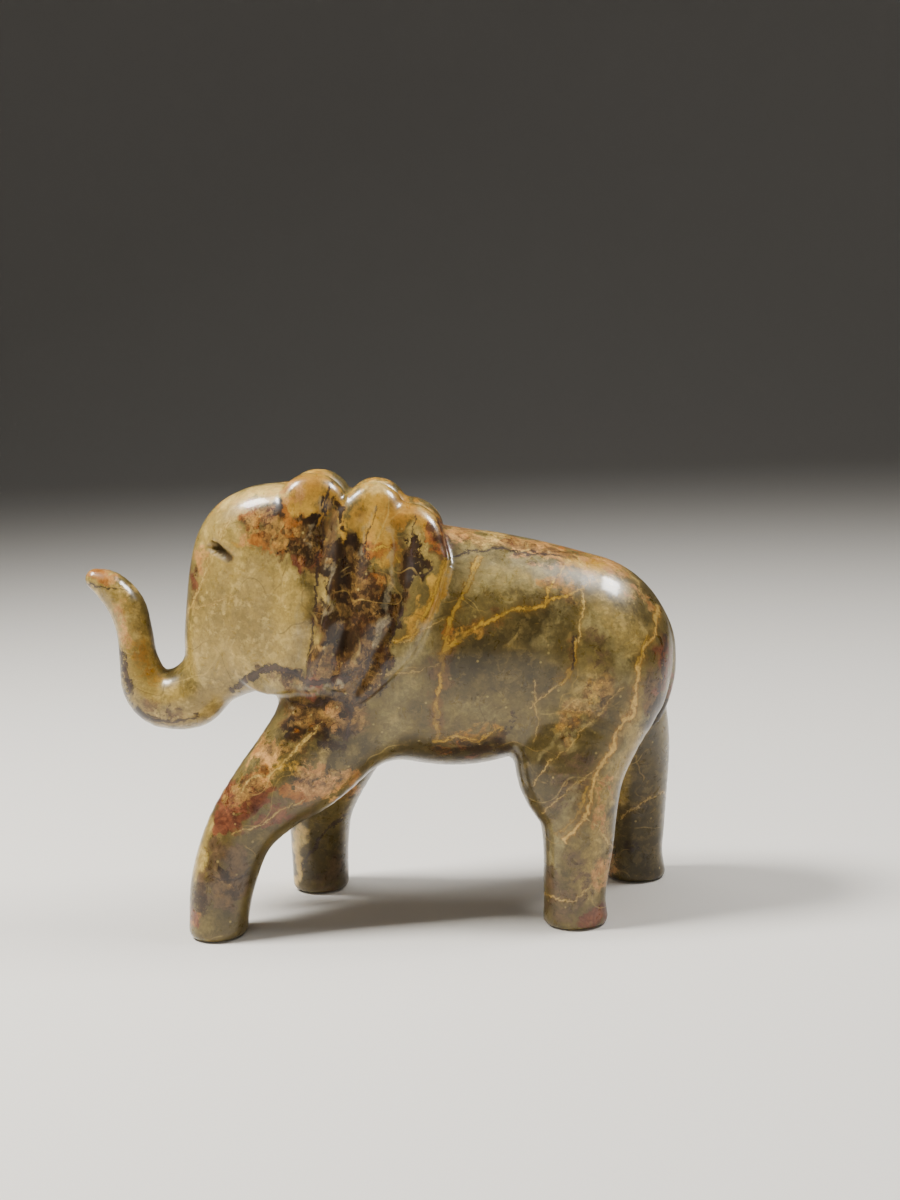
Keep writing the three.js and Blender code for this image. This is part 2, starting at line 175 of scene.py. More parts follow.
def smooth_line(points, closed, steps=4):
    """A curve through the points."""
    points = np.array(points, float)
    n = len(points)
    line = []
    for i in range(n if closed else n - 1):
        if closed:
            a, b, c, d = (points[(i + o) % n] for o in (-1, 0, 1, 2))
        else:
            a, b, c, d = (points[min(max(i + o, 0), n - 1)] for o in (-1, 0, 1, 2))
        for j in range(steps):
            t = j / steps
            line.append(b + 0.5 * ((c - a) * t + (2 * a - 5 * b + 4 * c - d) * t * t
                                   + (3 * b - a - 3 * c + d) * t ** 3))
    if not closed:
        line.append(points[-1])
    return np.array(line)


def limb(stations, steps=4):
    """Distance to ellipses strung along a smooth line."""
    line = smooth_line(stations, False, steps)

    def distance(x, y, z):
        nearest = np.full(x.shape, 1e9)
        for a, b in zip(line[:-1], line[1:]):
            dx, dz = b[0] - a[0], b[1] - a[1]
            t = np.clip(((x - a[0]) * dx + (z - a[1]) * dz) / (dx * dx + dz * dz), 0, 1)
            radius, half = mix(a[2], b[2], t), mix(a[4], b[4], t)
            px = (x - a[0] - dx * t) / radius
            py = (y - mix(a[3], b[3], t)) / half
            pz = (z - a[1] - dz * t) / radius
            reach = np.sqrt(px * px + py * py + pz * pz)
            slope = np.sqrt((px / radius) ** 2 + (py / half) ** 2 + (pz / radius) ** 2) + 1e-6
            nearest = np.minimum(nearest, reach * (reach - 1) / slope)
        return nearest
    return distance


def outline(points, steps=4):
    """Distance in the side view to a closed outline."""
    line = smooth_line(points, True, steps)

    def distance(x, z):
        nearest = np.full(x.shape, 1e9)
        inside = np.zeros(x.shape, bool)
        for (ax, az), (bx, bz) in zip(line, np.roll(line, -1, axis=0)):
            dx, dz = bx - ax, bz - az
            t = np.clip(((x - ax) * dx + (z - az) * dz) / (dx * dx + dz * dz), 0, 1)
            nearest = np.minimum(nearest, np.hypot(x - ax - dx * t, z - az - dz * t))
            if az != bz:
                crosses = (az > z) != (bz > z)
                inside ^= crosses & (x < ax + dx * (z - az) / dz)
        return np.where(inside, -nearest, nearest)
    return distance


body = limb(BODY, 10)
trunk = limb(TRUNK)
fore_legs = [limb(LEFT_FORELEG), limb(RIGHT_FORELEG)]
hind_legs = [limb(LEFT_HINDLEG), limb(RIGHT_HINDLEG)]
tail = limb(TAIL)
nape = limb(NAPE)
head_outline = outline(HEAD)
ear_outline = outline(EAR)


def cheek(x, z):
    wedge = mix(MUZZLE_WIDTH, HEAD_WIDTH, ease(-60, -22, x)) / 2
    return wedge - CHEEK_TAPER * (ease(104, 124, z) + ease(74, 56, z))


def head(x, y, z):
    return meet(head_outline(x, z), np.abs(y) - cheek(x, z), CHEEK_ROUNDING)


def flutes(x, z):
    depth = np.zeros(x.shape)
    for line, share, top, width in FLUTES:
        offset = (x - at_height(FLUTE_HEIGHTS, line, z)) / (width / 2)
        depth += share * ease(top, top - FLUTE_RUN_OUT, z) * np.exp(-1.6 * offset * offset)
    return depth * FLUTE_DEPTH


def ears(x, y, z):
    rim = ear_outline(x, z)
    for cx, cz, radius in LOBES:
        rim = join(rim, np.hypot(x - cx, z - cz) - radius, LOBE_FILLET)
    shoulder = FLANK * at_height(EAR_HEIGHTS, EAR_SPREAD, z) + EAR_STEP
    half = mix(cheek(x, z) + EAR_LIFT, shoulder, ease(-34, -10, x)) - flutes(x, z)
    edge = mix(EAR_EDGE, RIM_EDGE, ease(100, 118, z))
    return meet(rim, np.abs(y) - half, edge)


def path_distance(x, z, points):
    """Distance in the side view to a chain of points, and the share of its length."""
    points = np.array(points, float)
    lengths = np.hypot(*(points[1:] - points[:-1]).T)
    total = lengths.sum()
    nearest = np.full(x.shape, 1e9)
    share = np.zeros(x.shape)
    done = 0.0
    for (ax, az), (bx, bz), length in zip(points[:-1], points[1:], lengths):
        dx, dz = bx - ax, bz - az
        t = np.clip(((x - ax) * dx + (z - az) * dz) / (length * length), 0, 1)
        d = np.hypot(x - ax - dx * t, z - az - dz * t)
        share = np.where(d < nearest, (done + t * length) / total, share)
        nearest = np.minimum(nearest, d)
        done += length
    return nearest, share


def elephant(x, y, z):
    d = body(x, y, z)
    for leg in fore_legs:
        d = join(d, leg(x, y, z), SHOULDER_FILLET)
    for leg in hind_legs:
        d = join(d, leg(x, y, z), HIP_FILLET)
    d = join(d, tail(x, y, z), TAIL_FILLET)
    d = join(d, join(head(x, y, z), trunk(x, y, z), TRUNK_FILLET), NECK_FILLET)
    d = join(d, ears(x, y, z), EAR_FILLET)
    d = meet(d, -nape(x, y, z), NAPE_ROUNDING)
    slit, along = path_distance(x, z, EYE_SLIT)
    lid, _ = path_distance(x, z, LID_LINE)
    cut = EYE_DEPTH * ease(EYE_EDGE, EYE_FLOOR, slit) * ease(1.0, 0.35, along)
    cut += LID_DEPTH * ease(LID_EDGE, 0.0, lid)
    d = d + cut * ease(2, 5, np.abs(y))
    return meet(d, -z, SOLE_EDGE)


# ---------------------------------------------------------------------------------------
# The stone mesh: the solid, remeshed finely and settled onto the carved form
# ---------------------------------------------------------------------------------------
VOXEL = 0.00088  # metres
PROBE = 0.03  # mm, the step over which the slope of the form is measured
ROUNDS = 3
LONGEST_MOVE = 1.2  # mm in one round
ON_FLOOR = 0.12  # mm, points lower than this are set on the floor
BOX_MARGIN = 0.002  # mm kept inside the solid's box

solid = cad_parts["elephant"]
stone_mesh = solid.data.copy()
stone_mesh.name = "stone"
stone = bpy.data.objects.new("stone", stone_mesh)
stone.matrix_world = solid.matrix_world.copy()
scene.collection.objects.link(stone)
stone_mesh.materials.clear()

bpy.context.view_layer.update()
stone_mesh.transform(stone.matrix_world)
stone.matrix_world = Matrix.Identity(4)
remesh = stone.modifiers.new("remesh", "REMESH")
remesh.mode = "VOXEL"
remesh.voxel_size = VOXEL
remesh.adaptivity = 0.0
depsgraph = bpy.context.evaluated_depsgraph_get()
fine = bpy.data.meshes.new_from_object(stone.evaluated_get(depsgraph))
stone.modifiers.clear()
stone.data = fine
fine.name = "stone"

count = len(fine.vertices)
points = np.empty(count * 3)
fine.vertices.foreach_get("co", points)
points = points.reshape(-1, 3) * 1000
for _ in range(ROUNDS):
    x, y, z = points.T
    here = elephant(x, y, z)
    slope = np.stack([
        (elephant(x + PROBE, y, z) - here) / PROBE,
        (elephant(x, y + PROBE, z) - here) / PROBE,
        (elephant(x, y, z + PROBE) - here) / PROBE,
    ], axis=1)
    size = np.maximum((slope ** 2).sum(axis=1), 0.2)
    move = slope * (-here / size)[:, None]
    length = np.linalg.norm(move, axis=1)
    move *= np.minimum(1, LONGEST_MOVE / np.maximum(length, 1e-9))[:, None]
    points = points + move
points[points[:, 2] < ON_FLOOR, 2] = 0.0
low = np.array(cad_box[0]) * 1000 + BOX_MARGIN
high = np.array(cad_box[1]) * 1000 - BOX_MARGIN
low[2] = 0.0
points = np.clip(points, low, high)
fine.vertices.foreach_set("co", (points / 1000).ravel())
fine.polygons.foreach_set("use_smooth", np.ones(len(fine.polygons), bool))
fine.update()
print("stone:", count, "vertices", len(fine.polygons), "faces")

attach(stone, "root")
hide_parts("elephant")

# ---------------------------------------------------------------------------------------
# Where the colours lie: sheets of stone that run through the block, away from the eye; among them
# lie painted highlights and painted shade
# ---------------------------------------------------------------------------------------
# Places and widths are in pixels of the picture, as LENS is.
PICTURE_WIDTH, PICTURE_HEIGHT = 900, 1200
LENS = 1611.0
EYE_MM = np.array([19.3, -447.4, 146.1])
PITCH = math.radians(7.44)
ROLL = math.radians(2.02)


def seen_at(p):
    """Place in the picture of points in millimetres."""
    d = p - EYE_MM
    depth = d[:, 1] * math.cos(PITCH) - d[:, 2] * math.sin(PITCH)
    across = LENS * d[:, 0] / depth
    rise = LENS * (d[:, 1] * math.sin(PITCH) + d[:, 2] * math.cos(PITCH)) / depth
    c, s = math.cos(ROLL), math.sin(ROLL)
    right_of_middle, above_middle = c * across - s * rise, s * across + c * rise
    return PICTURE_WIDTH / 2 + right_of_middle, PICTURE_HEIGHT / 2 - above_middle


# Each stroke of a stain, a painted highlight or painted shade: its line, its half width and its
# strength
STAINS_AND_PAINTED_LIGHT = {
    "straw": [
        ([(230, 700), (190, 712)], 14, 0.8), ([(600, 600), (640, 640)], 14, 0.6),
        ([(96, 578), (122, 620), (135, 660), (150, 690)], 20, 0.9),
        ([(640, 730), (606, 800), (592, 850)], 10, 0.7), ([(645, 690), (628, 730)], 8, 0.6),
        ([(604, 680), (575, 705), (556, 730)], 10, 0.8),
        ([(560, 590), (500, 575)], 14, 0.4), ([(575, 690), (600, 670)], 10, 0.6),
        ([(470, 700), (455, 725)], 12, 0.2), ([(600, 800), (590, 890)], 12, 0.55),
        ([(222, 545), (218, 660)], 30, 1), ([(262, 590), (268, 655)], 38, 1),
        ([(165, 712), (215, 698)], 17, 0.9), ([(212, 525), (240, 505)], 20, 1),
        ([(322, 530), (320, 600)], 5, 1), ([(208, 825), (198, 875)], 8, 0.9),
        ([(300, 600), (298, 660)], 12, 0.9), ([(575, 850), (580, 895)], 12, 0.3),
        ([(420, 530), (421, 560)], 9, 0.8), ([(470, 536), (500, 540)], 9, 0.6),
        ([(610, 770), (600, 850)], 10, 0.5), ([(322, 750), (312, 770)], 8, 0.6),
    ],
    "honey": [
        ([(296, 488), (320, 480)], 15, 1), ([(292, 502), (312, 510)], 11, 1),
        ([(375, 492), (372, 520)], 19, 1), ([(396, 500), (390, 560)], 12, 1),
        ([(412, 508), (430, 518)], 10, 1), ([(565, 562), (608, 570)], 11, 0.9),
        ([(112, 592), (124, 620), (136, 652), (150, 678)], 11, 0.4),
        ([(338, 496), (346, 520), (344, 545)], 8, 0.9), ([(318, 482), (322, 520)], 6, 0.9),
        ([(604, 680), (575, 705), (556, 730)], 9, 0.4), ([(455, 738), (498, 731)], 5, 0.6),
        ([(443, 562), (430, 598), (414, 636)], 6, 1), ([(450, 642), (478, 636)], 7, 0.8),
        ([(545, 585), (560, 580)], 8, 0.8), ([(235, 548), (252, 540)], 7, 0.6),
        ([(205, 512), (222, 495)], 6, 0.7), ([(262, 765), (300, 770)], 8, 0.5),
    ],
    # Pale cream stone, and painted highlights on the top of the head, the trunk, the top of the
    # second ear lobe and the rump
    "cream": [
        ([(232, 503), (258, 491), (276, 492)], 10, 1), ([(297, 832), (298, 882)], 5, 0.9),
        ([(366, 487), (384, 484)], 5, 0.8), ([(120, 585), (130, 590)], 5, 0.9),
        ([(112, 590), (128, 632)], 6, 0.6), ([(456, 530), (520, 540)], 5, 0.75),
        ([(585, 566), (560, 556)], 6, 0.6),
        ([(600, 577), (630, 590)], 8, 0.35), ([(420, 505), (432, 516)], 5, 0.6),
    ],
    "peach": [
        ([(268, 748), (262, 776)], 10, 1), ([(300, 792), (345, 782)], 9, 1),
        ([(310, 768), (300, 790)], 7, 0.9), ([(240, 790), (258, 782)], 6, 0.8),
        ([(600, 560), (625, 572)], 8, 0.7), ([(606, 780), (598, 830)], 8, 0.5),
        ([(90, 574), (108, 576)], 7, 1), ([(452, 530), (470, 531)], 8, 1),
        ([(116, 600), (128, 642)], 6, 0.55), ([(286, 500), (300, 484)], 6, 0.7),
        ([(518, 545), (556, 553)], 8, 1), ([(262, 745), (266, 770)], 7, 1),
        ([(318, 795), (338, 785), (346, 778)], 9, 1), ([(300, 765), (318, 770)], 6, 0.8),
        ([(330, 712), (338, 728)], 7, 0.9), ([(366, 680), (360, 692)], 7, 0.9),
        ([(580, 560), (600, 565)], 7, 0.6), ([(248, 540), (262, 548)], 6, 0.7),
        ([(636, 590), (652, 606)], 5, 0.6), ([(300, 740), (318, 730)], 5, 0.6),
        ([(200, 552), (204, 566)], 5, 0.6), ([(610, 860), (600, 880)], 8, 0.6),
    ],
    "orange": [
        ([(250, 517), (268, 518)], 10, 1), ([(262, 540), (290, 545)], 9, 1),
        ([(284, 512), (296, 530)], 9, 0.9), ([(368, 548), (394, 548)], 7, 1),
        ([(368, 578), (376, 600)], 8, 1), ([(352, 634), (380, 622), (386, 640)], 9, 1),
        ([(334, 668), (352, 676), (362, 692)], 10, 1), ([(244, 782), (262, 775)], 6, 0.6),
        ([(285, 790), (300, 800)], 6, 0.8), ([(446, 628), (449, 646)], 5, 1),
        ([(440, 748), (466, 752)], 5, 0.45), ([(98, 574), (104, 578)], 5, 0.8),
        ([(433, 530), (436, 545)], 7, 0.8), ([(580, 552), (560, 546)], 4, 0.7),
        ([(298, 715), (300, 730)], 7, 0.6), ([(190, 905), (194, 925)], 6, 0.9),
    ],
    "brick": [
        ([(218, 790), (232, 826)], 12, 1), ([(236, 812), (266, 796)], 8, 1),
        ([(310, 690), (330, 668)], 6, 0.8), ([(345, 640), (336, 660)], 6, 0.8),
        ([(222, 782), (234, 812)], 10, 1), ([(246, 806), (262, 792)], 7, 0.9),
        ([(214, 796), (222, 832)], 6, 0.9), ([(192, 908), (193, 926)], 5, 0.9),
        ([(602, 912), (590, 925)], 8, 1.2), ([(318, 556), (302, 562)], 8, 1),
        ([(345, 556), (338, 590)], 7, 0.9), ([(436, 526), (441, 550)], 5, 1),
        ([(330, 645), (334, 664)], 7, 0.9), ([(669, 645), (664, 690)], 5, 0.9),
        ([(272, 512), (266, 524)], 5, 0.8), ([(198, 570), (193, 590)], 5, 0.8),
        ([(512, 540), (518, 545)], 5, 0.8), ([(280, 812), (262, 820)], 5, 0.6),
        ([(380, 600), (372, 622)], 6, 0.7), ([(455, 752), (470, 754)], 4, 0.8),
    ],
    "umber": [
        ([(348, 552), (344, 600), (340, 645), (350, 690)], 18, 1.1),
        ([(388, 606), (384, 640), (372, 684)], 13, 1.1), ([(362, 560), (366, 640)], 8, 0.8),
        ([(312, 520), (311, 556)], 5, 0.6), ([(440, 754), (500, 750)], 7, 0.6),
        ([(306, 560), (306, 520)], 7, 0.9), ([(420, 540), (416, 570)], 6, 0.9),
        ([(322, 728), (300, 735)], 9, 0.8), ([(352, 700), (345, 732)], 9, 0.9),
        ([(302, 515), (302, 556)], 4, 0.9), ([(318, 500), (316, 560)], 3, 1),
        ([(276, 505), (281, 520)], 5, 0.8), ([(353, 545), (347, 610)], 8, 1),
        ([(340, 612), (332, 640)], 8, 1), ([(358, 590), (356, 640)], 7, 1),
        ([(386, 622), (379, 668)], 7, 1), ([(410, 572), (400, 612)], 4, 0.9),
        ([(300, 712), (320, 705)], 9, 0.8), ([(346, 700), (350, 728)], 7, 0.9),
        ([(222, 868), (236, 902)], 5, 0.6), ([(118, 644), (122, 676), (132, 698)], 3.5, 0.7),
        ([(505, 738), (512, 715)], 4, 0.4), ([(340, 505), (344, 520)], 5, 0.9),
        ([(416, 556), (417, 572)], 6, 0.9), ([(300, 676), (285, 676)], 5, 0.9),
        ([(318, 742), (336, 748)], 8, 0.7), ([(290, 722), (318, 732)], 9, 0.7),
        ([(662, 700), (655, 715)], 5, 0.8),
        ([(200, 892), (206, 910)], 6, 0.6), ([(636, 842), (630, 848)], 5, 0.7),
        ([(290, 548), (312, 552)], 6, 0.8), ([(140, 712), (160, 722)], 5, 0.6),
    ],
    "brown": [
        ([(345, 555), (348, 640)], 19, 1), ([(372, 585), (372, 662)], 17, 1),
        ([(328, 500), (327, 530), (324, 565)], 10, 1),
        ([(300, 508), (308, 556)], 13, 1), ([(272, 522), (292, 545)], 16, 0.9),
        ([(322, 612), (324, 664)], 9, 1), ([(300, 706), (345, 716)], 20, 1),
        ([(352, 690), (362, 700)], 9, 0.9), ([(434, 522), (438, 550)], 9, 1),
        ([(412, 540), (406, 600)], 7, 0.8), ([(262, 800), (232, 800)], 13, 0.25),
        ([(300, 770), (262, 790)], 10, 0.2), ([(226, 868), (234, 905)], 12, 0.35),
        ([(455, 538), (545, 550)], 8, 0.3), ([(592, 690), (556, 735)], 12, 0.25),
        ([(435, 748), (500, 742)], 7, 0.45), ([(668, 640), (658, 706)], 7, 0.8),
        ([(150, 704), (176, 716)], 9, 0.5), ([(196, 560), (194, 590)], 5, 0.8),
        ([(555, 560), (580, 575)], 7, 0.6), ([(450, 640), (500, 618)], 8, 0.6),
        ([(444, 655), (437, 730)], 6, 0.7), ([(575, 640), (566, 676)], 5, 0.3),
        ([(262, 676), (300, 680)], 7, 0.8),
    ],
    "mauve": [
        ([(320, 612), (322, 670)], 9, 1), ([(238, 860), (232, 900)], 13, 1),
        ([(210, 870), (204, 890)], 7, 0.8), ([(595, 640), (622, 690)], 14, 0.35),
        ([(300, 512), (308, 545)], 7, 0.8), ([(345, 655), (372, 650)], 8, 0.8),
        ([(660, 660), (655, 700)], 8, 0.8), ([(285, 805), (310, 800)], 12, 0.6),
        ([(560, 750), (575, 720)], 14, 0.35), ([(196, 560), (193, 600)], 5, 0.7),
        ([(340, 860), (325, 880)], 10, 0.6), ([(550, 880), (560, 915)], 10, 0.6),
        ([(582, 860), (572, 918)], 13, 0.55), ([(562, 800), (580, 765)], 13, 0.5),
        ([(222, 850), (215, 900)], 12, 0.8),
    ],
    # Dark olive stone, and painted shade on the underside of the belly and on the legs
    "moss_and_shade": [
        ([(285, 745), (300, 800)], 17, 0.8), ([(250, 850), (264, 820)], 12, 0.7),
        ([(548, 780), (556, 900)], 26, 0.9), ([(590, 860), (600, 905)], 14, 0.7),
        ([(400, 748), (500, 760)], 18, 1.1), ([(400, 660), (425, 640)], 20, 0.6),
        ([(240, 880), (262, 850)], 16, 0.9), ([(330, 740), (300, 790)], 20, 0.8),
        ([(318, 806), (276, 824)], 9, 1.1), ([(234, 762), (250, 742)], 8, 1),
        ([(552, 830), (548, 880)], 8, 0.8), ([(410, 700), (440, 735)], 16, 0.5),
        ([(455, 675), (500, 640), (545, 622)], 24, 0.9), ([(540, 740), (548, 790)], 14, 0.8),
        ([(300, 700), (340, 725)], 20, 0.8), ([(310, 865), (338, 862)], 20, 1.2),
        ([(640, 720), (645, 790)], 18, 1), ([(636, 800), (636, 870)], 24, 1.1),
        ([(420, 760), (480, 762)], 9, 1), ([(372, 742), (362, 770)], 12, 0.7),
        ([(612, 700), (580, 760)], 14, 0.7), ([(618, 650), (640, 690)], 12, 0.3),
        ([(520, 660), (545, 690)], 18, 0.6), ([(230, 915), (238, 880)], 12, 0.6),
        ([(570, 640), (560, 620)], 10, 0.5), ([(425, 590), (405, 650)], 9, 0.4),
    ],
    # Pale grey clouds in the stone, and painted highlights on the ear ridges and on the rump
    "mist_and_highlight": [
        ([(640, 668), (600, 705), (566, 748)], 4.5, 1),
        ([(618, 660), (588, 700), (552, 742)], 3.5, 0.9),
        ([(652, 705), (622, 748), (596, 780)], 5, 0.8),
        ([(590, 700), (556, 742), (540, 762)], 3.5, 0.8),
        ([(578, 790), (562, 830), (556, 870)], 6, 0.7), ([(280, 690), (262, 694)], 5, 0.8),
        ([(610, 615), (628, 640), (626, 668)], 13, 0.9),
        ([(470, 572), (528, 575)], 20, 1), ([(395, 658), (428, 648)], 14, 0.8),
        ([(468, 702), (492, 718)], 13, 0.35), ([(596, 622), (620, 636)], 14, 0.7),
        ([(394, 548), (386, 618)], 4, 1.1), ([(400, 700), (415, 690)], 14, 0.6),
        ([(305, 560), (304, 600)], 4, 0.6), ([(395, 720), (385, 738)], 12, 0.5),
        ([(560, 612), (545, 640)], 10, 0.5), ([(313, 500), (312, 520)], 3, 0.8),
        ([(334, 600), (330, 628)], 4, 0.8), ([(436, 600), (424, 640)], 4, 0.8),
    ],
    # Painted highlights on the ribs between the flutes, on the back edge of the cheek and under the
    # jaw
    "rib_highlight": [
        ([(398, 528), (389, 588), (379, 645)], 3.0, 1.1),
        ([(330, 560), (326, 604), (319, 652)], 1.7, 0.9),
        ([(300, 596), (298, 668)], 4, 0.7), ([(444, 566), (438, 598)], 2.2, 0.9),
        ([(372, 505), (362, 560)], 2.5, 0.8), ([(314, 500), (312, 545)], 2.5, 0.8),
        ([(426, 620), (408, 668)], 3, 0.7), ([(300, 686), (345, 683)], 1.8, 1),
        ([(262, 692), (290, 700)], 3.5, 0.7),
    ],
    "breccia": [
        ([(262, 520), (296, 540), (312, 555)], 15, 1), ([(355, 560), (350, 610)], 16, 0.9),
        ([(372, 590), (380, 640), (355, 680)], 18, 1), ([(325, 650), (335, 672)], 12, 0.8),
        ([(300, 712), (330, 722), (350, 712)], 18, 0.75), ([(235, 800), (262, 775)], 15, 0.7),
        ([(300, 780), (335, 785)], 14, 0.8), ([(600, 690), (560, 730)], 15, 0.8),
        ([(220, 880), (232, 900)], 10, 0.35), ([(460, 532), (560, 555)], 9, 0.7),
        ([(150, 700), (170, 715)], 10, 0.4), ([(550, 585), (575, 600)], 9, 0.6),
        ([(285, 676), (305, 684)], 9, 0.9), ([(440, 540), (434, 528)], 7, 0.8),
        ([(450, 636), (478, 636)], 8, 0.6), ([(262, 745), (300, 750)], 12, 0.7),
    ],
}
# Each vein: its line and its half width
VEINS = {
    "bold": [
        ([(658, 610), (654, 634), (645, 650), (641, 666), (637, 690), (633, 712), (618, 730),
          (611, 752), (599, 768), (592, 790), (586, 815), (567, 838)], 2.4),
    ],
    "cream": [
        ([(588, 822), (600, 832), (612, 845)], 1.2), ([(235, 508), (213, 548)], 1.1),
        ([(212, 548), (205, 578), (188, 610)], 1.3), ([(188, 610), (208, 604), (228, 598)], 0.7),
        ([(582, 590), (581, 620), (577, 648)], 1.4), ([(560, 682), (548, 694), (533, 704)], 1.1),
        ([(545, 895), (556, 900), (573, 900), (592, 884), (612, 866)], 0.8),
        ([(622, 815), (640, 802), (664, 793)], 0.8),
        ([(240, 792), (250, 780), (268, 776), (285, 762), (302, 744), (318, 724)], 1.0),
        ([(238, 832), (262, 824), (278, 812), (300, 800)], 0.7),
        ([(622, 690), (592, 720), (560, 756), (536, 782)], 0.6),
        ([(626, 570), (640, 584), (644, 600)], 0.9), ([(620, 575), (634, 594)], 0.7),
        ([(380, 676), (404, 674), (436, 668)], 0.6), ([(535, 684), (538, 720), (534, 738)], 0.8),
        ([(392, 640), (408, 641), (424, 630), (440, 622)], 1.1),
        ([(528, 555), (528, 549), (512, 556)], 0.8), ([(596, 768), (560, 800), (545, 812)], 0.5),
    ],
    "amber": [
        ([(477, 560), (470, 578), (457, 603), (449, 622)], 3.2),
        ([(449, 622), (446, 636), (443, 652)], 4.8),
        ([(452, 645), (470, 634), (486, 622), (500, 616)], 3.0),
        ([(500, 616), (512, 608), (528, 610), (545, 604)], 2.6),
        ([(545, 604), (562, 596), (582, 586)], 1.6), ([(544, 604), (549, 588), (560, 570)], 1.6),
        ([(577, 648), (575, 664), (562, 680)], 2.0), ([(443, 655), (438, 700), (436, 735)], 2.4),
        ([(436, 740), (456, 738), (480, 742), (500, 730)], 1.6),
        ([(443, 562), (430, 598), (416, 632), (400, 640)], 1.8), ([(646, 640), (641, 660)], 1.6),
        ([(370, 548), (392, 546), (398, 560)], 1.4), ([(585, 790), (580, 812), (560, 832)], 2.2),
    ],
    "dark": [
        ([(333, 485), (326, 500), (322, 530), (319, 560), (316, 600), (311, 640), (309, 676)], 1.2),
        ([(234, 688), (256, 676), (274, 668), (292, 673), (305, 682), (326, 681), (348, 678)], 3.4),
        ([(446, 558), (470, 551), (500, 548), (520, 553), (555, 555)], 1.1),
        ([(411, 562), (417, 578), (428, 570)], 1.2), ([(404, 610), (392, 640), (383, 672)], 1.6),
        ([(666, 637), (664, 668), (656, 706)], 1.4), ([(88, 585), (104, 588), (128, 590)], 0.9),
        ([(303, 868), (318, 842), (330, 826), (347, 812)], 1.0), ([(376, 508), (362, 560)], 0.8),
        ([(335, 560), (328, 600), (324, 640)], 0.9), ([(372, 655), (362, 672), (356, 690)], 1.0),
        ([(125, 664), (130, 690)], 1.8), ([(416, 520), (412, 560)], 0.8),
        ([(330, 700), (352, 706), (348, 735)], 1.4), ([(215, 880), (240, 878), (250, 870)], 1.0),
        ([(288, 700), (310, 704), (334, 700)], 1.2), ([(575, 640), (574, 664)], 1.1),
        ([(135, 712), (150, 722), (172, 724), (196, 716)], 1.0),
    ],
}


def stroke(u, v, points, radius):
    """How much a stroke covers: all near its line, nothing at twice its half width."""
    distance, _ = path_distance(u, v, points)
    return ease(1.9, 0.1, distance / radius)


END_FADE = 7  # a vein is gone this far past its ends
SIDE_FADE = (17, 12)  # a vein is gone at the first distance, and whole at the second


def vein_sheet(u, v, points):
    """Signed distance to a vein, and how present it is: it fades past its ends."""
    best = np.full(u.shape, 1e9)
    signed = np.full(u.shape, 99.0)
    present = np.zeros(u.shape)
    last = len(points) - 2
    for i, ((au, av), (bu, bv)) in enumerate(zip(points[:-1], points[1:])):
        du, dv = bu - au, bv - av
        length = math.hypot(du, dv)
        t = ((u - au) * du + (v - av) * dv) / length
        side = ((u - au) * dv - (v - av) * du) / length
        over = np.maximum(np.maximum(-t, t - length), 0)
        distance = np.hypot(side, over)
        ends = np.zeros(u.shape)
        if i == 0:
            ends = np.maximum(ends, -t)
        if i == last:
            ends = np.maximum(ends, t - length)
        joint = np.where((over > 0) & (ends <= 0), np.sign(side) * distance, side)
        nearer = distance < best
        signed = np.where(nearer, joint, signed)
        present = np.where(nearer, ease(END_FADE, 0, ends) * ease(*SIDE_FADE, distance),
                           present)
        best = np.minimum(best, distance)
    return signed, present


def far_apart(a, b, gap=36):
    """Whether two lines keep a gap, so that one attribute can hold both."""
    dense = [np.array(smooth_line(p, False, 6)) for p in (a, b)]
    d = dense[0][:, None, :] - dense[1][None, :, :]
    return np.sqrt((d ** 2).sum(axis=2)).min() > gap


normals = np.empty(count * 3)
fine.vertices.foreach_get("normal", normals)
normals = normals.reshape(-1, 3)
u, v = seen_at(points)
# Turned away from the eye, the sheets wander as they run through the block.
away = ease(0.0, 0.5, normals[:, 1])
px, py, pz = points.T
u = u + away * (16 * np.sin(pz / 13 + px / 31) + 9 * np.sin(px / 17 + py / 11 + 2))
v = v + away * (14 * np.sin(px / 19 - pz / 29 + 1) + 8 * np.sin(pz / 11 + py / 13))


LATTICE = 24
lattice = np.random.default_rng(11).random((LATTICE, LATTICE, LATTICE, 2)) - 0.5


def lattice_noise(p, size):
    """Smooth noise of two values, with features of about the given size in mm."""
    q = p / size
    cell = np.floor(q).astype(int)
    t = q - cell
    t = t * t * (3 - 2 * t)
    total = np.zeros((len(p), 2))
    for corner in np.ndindex(2, 2, 2):
        weight = np.ones(len(p))
        for axis in range(3):
            weight = weight * (t[:, axis] if corner[axis] else 1 - t[:, axis])
        i, j, k = ((cell[:, axis] + corner[axis]) % LATTICE for axis in range(3))
        total += weight[:, None] * lattice[i, j, k]
    return total


# Veins and patches stray from their lines by these many pixels, in three sizes of noise.
VEIN_STRAY = (4, 3, 2)
PATCH_STRAY = (12, 14, 9)
noises = [lattice_noise(points + shift, size) for shift, size in ((0, 9.0), (40, 3.6), (90, 1.8))]


def strayed(amounts):
    moves = sum(amount * values for amount, values in zip(amounts, noises))
    return np.array([u, v]) + moves.T


vein_u, vein_v = strayed(VEIN_STRAY)
patch_u, patch_v = strayed(PATCH_STRAY)


def store(name, columns):
    attribute = fine.attributes.new(name, "FLOAT_VECTOR", "POINT")
    attribute.data.foreach_set("vector", np.stack(columns, axis=1).astype(np.float32).ravel())


masks = {}
for kind, strokes in STAINS_AND_PAINTED_LIGHT.items():
    covered = np.zeros(count)
    for path, radius, strength in strokes:
        covered = np.maximum(covered, strength * stroke(patch_u, patch_v, path, radius))
    masks[kind] = covered
# Upright marks of the grinding wheel, on the ears
masks["ground"] = ease(-30, -22, px) * ease(20, 14, px) * ease(62, 70, pz)
